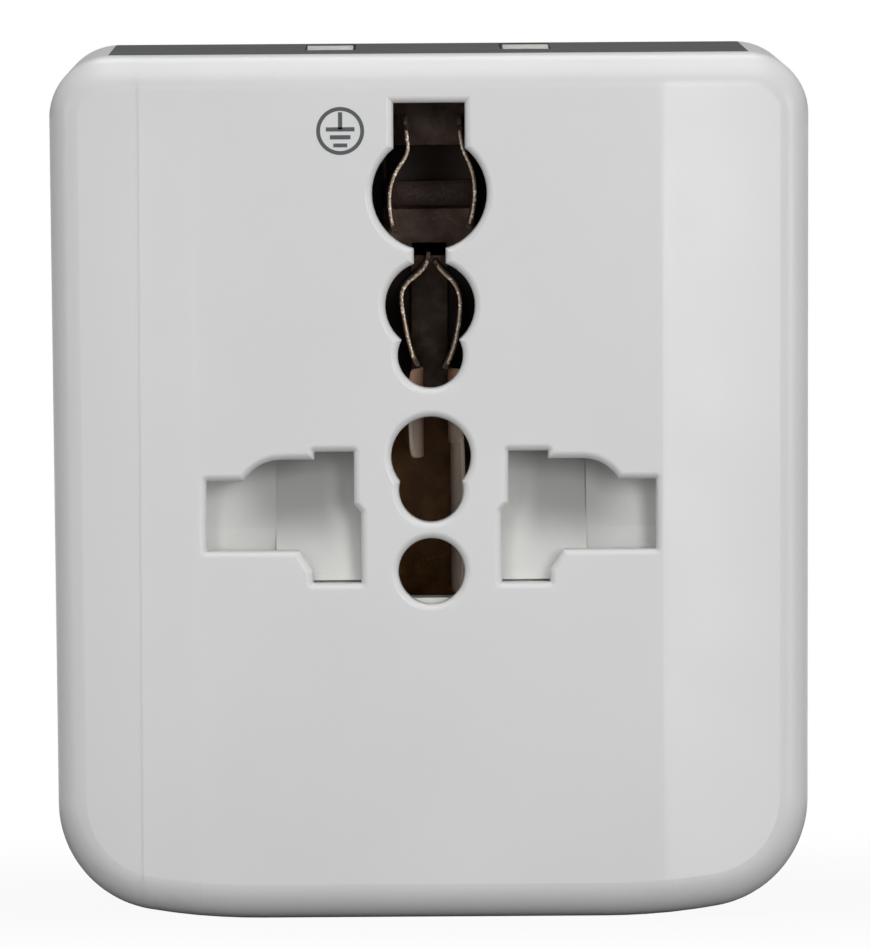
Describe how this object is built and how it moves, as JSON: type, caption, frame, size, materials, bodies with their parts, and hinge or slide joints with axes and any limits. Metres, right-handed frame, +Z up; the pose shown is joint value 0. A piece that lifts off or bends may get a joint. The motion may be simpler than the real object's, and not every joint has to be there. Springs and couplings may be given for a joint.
{
  "type": "travel adapter",
  "caption": "Pocket travel adapter: a shuttered universal socket in front, and flat, round and square plug pins that slide out of the rear.",
  "frame": {"origin": "middle of the body's bottom, on the floor it stands on", "axes": "+Z up, the socket faces -Y, the plug pins slide out along +Y, +X is to the right seen from the socket's side"},
  "size_m": [0.0488, 0.054, 0.0557],
  "materials": {
    "shell": "glossy white moulding",
    "panel": "satin dark grey",
    "knob": "glossy white",
    "insert": "dark heat-resistant plastic",
    "shutter": "satin white",
    "contact": "spring bronze",
    "rail": "rolled brass",
    "pin": "nickel-plated brass",
    "sleeve": "black sleeve",
    "carriage": "black heat-resistant plastic",
    "steel": "zinc-plated"
  },
  "bodies": {
    "body": {"front_shell": "shell", "rear_shell": "shell", "top_panel": "panel", "bottom_panel": "panel", "socket_insert": "insert", "neutral_contact": "contact", "live_contact": "contact", "earth_contact": "contact", "neutral_rail": "rail", "live_rail": "rail", "earth_rail": "rail", "shutter_springs": "steel", "right_guide": "insert", "left_guide": "insert", "case_screws": "steel", "insert_screws": "steel"},
    "shutter": {"shutter": "shutter"},
    "us_slider": {"us_carriage": "carriage", "us_cover": "carriage", "us_knob": "knob"},
    "us_left_pin": {"us_left_drum": "carriage", "us_left_blade": "pin"},
    "us_right_pin": {"us_right_drum": "carriage", "us_right_blade": "pin"},
    "eu_slider": {"eu_carriage": "carriage", "eu_knob": "knob", "eu_pins": "pin", "eu_sleeves": "sleeve"},
    "uk_slider": {"uk_carriage": "carriage", "uk_knob": "knob", "uk_pins": "pin", "uk_sleeves": "sleeve", "uk_earth_pin": "pin"}
  },
  "joints": [
    {"name": "us_slide", "type": "slide", "parent": "body", "child": "us_slider", "axis": [0, 1, 0], "range_m": [0, 0.018]},
    {"name": "us_right_swivel", "type": "hinge", "parent": "us_slider", "child": "us_right_pin", "pos_m": [0.00635, 0, 0.0435], "axis": [0, 1, 0], "range_deg": [-30, 0]},
    {"name": "us_left_swivel", "type": "hinge", "parent": "us_slider", "child": "us_left_pin", "pos_m": [-0.00635, 0, 0.0435], "axis": [0, 1, 0], "range_deg": [0, 30]},
    {"name": "eu_slide", "type": "slide", "parent": "body", "child": "eu_slider", "axis": [0, 1, 0], "range_m": [0, 0.0195]},
    {"name": "uk_slide", "type": "slide", "parent": "body", "child": "uk_slider", "axis": [0, 1, 0], "range_m": [0, 0.023]},
    {"name": "shutter_slide", "type": "slide", "parent": "body", "child": "shutter", "axis": [0, 0, -1], "range_m": [0, 0.0089], "stiffness_N_per_m": 60, "springref_m": -0.005, "deforming": ["shutter_springs"]}
  ],
  "couplings": [
    {"joint": "us_left_swivel", "follows": "us_right_swivel", "ratio": -1}
  ]
}
